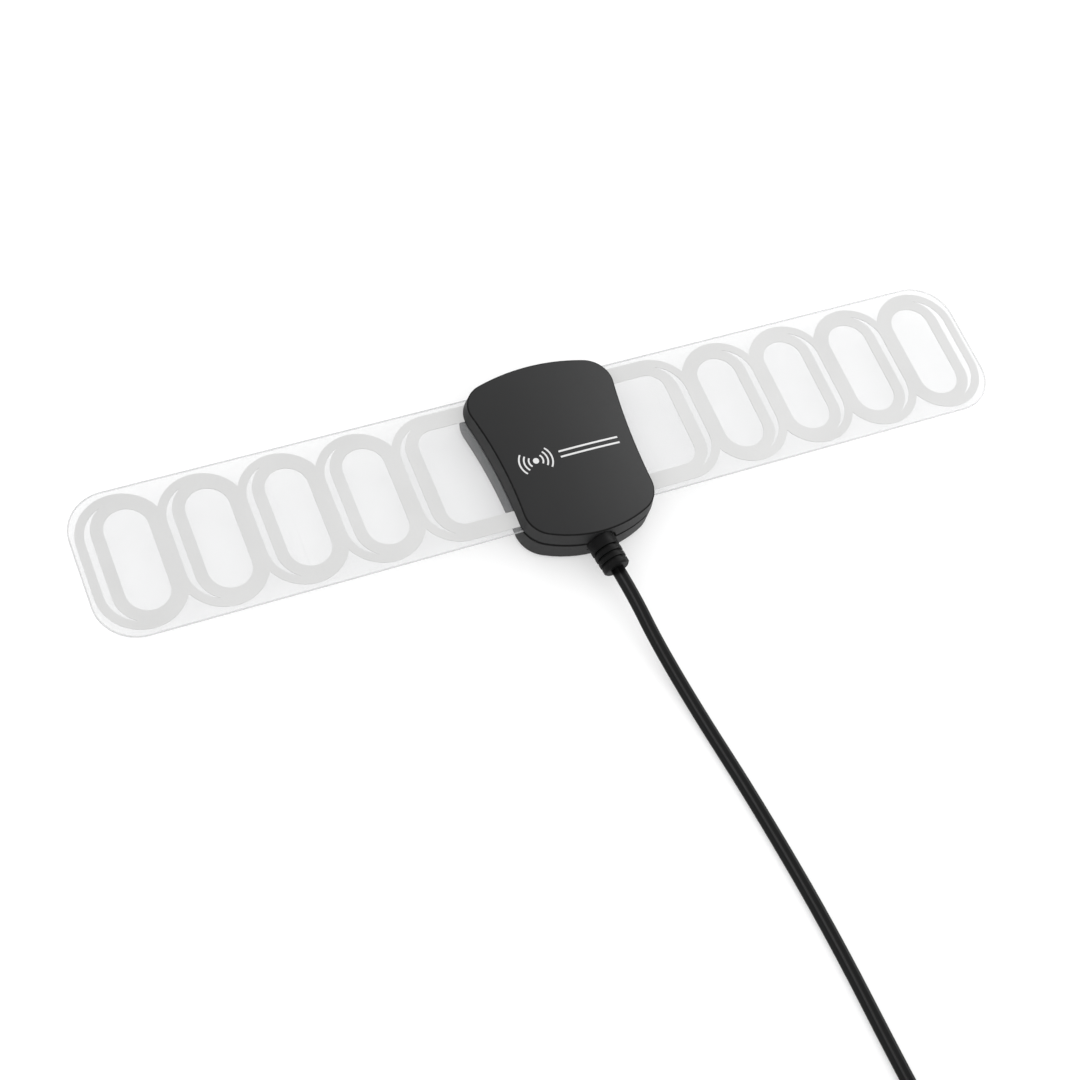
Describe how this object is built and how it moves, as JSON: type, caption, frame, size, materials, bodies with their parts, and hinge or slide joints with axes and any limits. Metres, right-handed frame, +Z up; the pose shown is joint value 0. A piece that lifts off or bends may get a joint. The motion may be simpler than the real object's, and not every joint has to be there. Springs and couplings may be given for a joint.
{
  "type": "flat film television antenna",
  "caption": "Flat indoor television antenna: a clear film strip printed with oval loops, a small amplifier housing clamped across its middle, and a flat twin cord.",
  "frame": {"origin": "middle of the adhesive pad's lower face, under the middle of the film", "axes": "+X along the film, +Y across it away from the cord, +Z up out of the surface it is stuck to"},
  "size_m": [0.344, 0.3674, 0.0174],
  "materials": {
    "clear_film": "clear glossy",
    "silver_ink": "light grey printed conductor, satin",
    "charcoal_shell": "satin moulded plastic",
    "black_shell": "satin moulded plastic",
    "steel": "zinc-plated",
    "foam_pad": "soft adhesive foam with a paper liner",
    "circuit_board": "solder mask",
    "tin_can": "tin-plated sheet",
    "black_chip": "moulded",
    "tan_chip": "matt",
    "capacitor_can": "satin",
    "ferrite": "matt",
    "enamel_wire": "enamelled copper",
    "spring_bronze": "bright",
    "cord_black": "satin soft plastic",
    "tie_black": "coated wire tie",
    "nickel": "nickel-plated",
    "white_plastic": "moulded",
    "gold_contact": "gold flashed",
    "red_sleeve": "insulation",
    "copper": "bare copper"
  },
  "bodies": {
    "root": {"adhesive_pad": "foam_pad", "aerial_lead": "cord_black", "aerial_plug_body": "black_shell", "aerial_plug_insulator": "white_plastic", "aerial_plug_pin": "nickel", "aerial_plug_sleeve": "nickel", "amplifier_board": "circuit_board", "amplifier_chip": "black_chip", "balun_core": "ferrite", "balun_winding": "enamel_wire", "band_filter": "white_plastic", "base_shell": "black_shell", "black_power_wire": "cord_black", "chip_capacitors": "tan_chip", "chip_inductors": "ferrite", "chip_resistors": "black_chip", "coax_core": "copper", "coax_ground_clip": "tin_can", "coax_tail": "cord_black", "contact_rivets": "spring_bronze", "contact_springs": "spring_bronze", "cord_coil": "cord_black", "cord_leave": "cord_black", "cord_run": "cord_black", "cord_splitter": "cord_black", "cord_tie": "tie_black", "electrolytic_capacitors": "capacitor_can", "film_sheet": "clear_film", "housing_screws": "steel", "left_element": "silver_ink", "power_lead": "cord_black", "red_power_wire": "red_sleeve", "right_element": "silver_ink", "shield_can": "tin_can", "strain_relief_boot": "cord_black", "top_cover": "charcoal_shell", "usb_contacts": "gold_contact", "usb_plug_body": "black_shell", "usb_shell": "nickel", "usb_tongue": "white_plastic", "voltage_regulator": "black_chip"}
  },
  "joints": []
}
